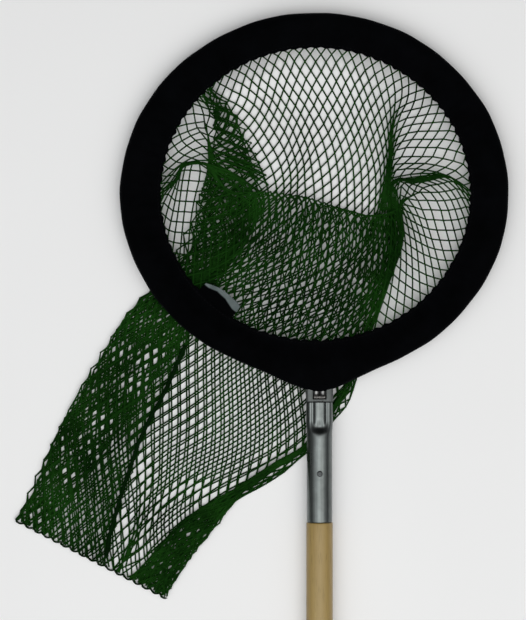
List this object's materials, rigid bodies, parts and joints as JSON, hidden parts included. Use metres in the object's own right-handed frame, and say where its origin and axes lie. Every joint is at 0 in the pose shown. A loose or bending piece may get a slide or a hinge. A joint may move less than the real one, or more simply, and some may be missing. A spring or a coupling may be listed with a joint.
{
  "type": "landing net",
  "caption": "Landing net with a padded steel hoop, a knotless net bag lying collapsed beside it, a pressed steel ferrule and a round wooden handle.",
  "frame": {"origin": "centre of the flat butt face of the handle", "axes": "+Y along the handle towards the hoop, +Z out of the hoop's upper face, +X to the right of the hoop seen from above"},
  "size_m": [0.4965, 1.0213, 0.0297],
  "materials": {
    "handle_wood": "smooth, thinly varnished hardwood with fine lengthwise grain",
    "plated_steel": "drawn and plated, slightly dulled",
    "rod_steel": "bare drawn rod and weld metal",
    "screw_steel": "dark, dull",
    "foam": "closed-cell foam",
    "black_fabric": "matt woven cover cloth",
    "green_twine": "braided twine",
    "green_netting": "knotless braided netting",
    "label_fabric": "smooth woven tape, blank"
  },
  "bodies": {
    "root": {"handle": "handle_wood", "ferrule": "plated_steel", "handle_screw": "screw_steel", "neck_collar": "plated_steel", "weld_bead": "rod_steel", "hoop_rod": "rod_steel", "hoop_foam": "foam", "hoop_cover": "black_fabric", "binding_tape": "black_fabric", "mouth_cord": "green_twine", "blank_label": "label_fabric", "net_bag_mouth": "green_netting", "net_bag_skirt": "green_netting", "net_bag_throat": "green_netting", "net_bag_tail": "green_netting", "net_side_seam": "green_twine", "net_bottom_seam": "green_twine"}
  },
  "joints": []
}
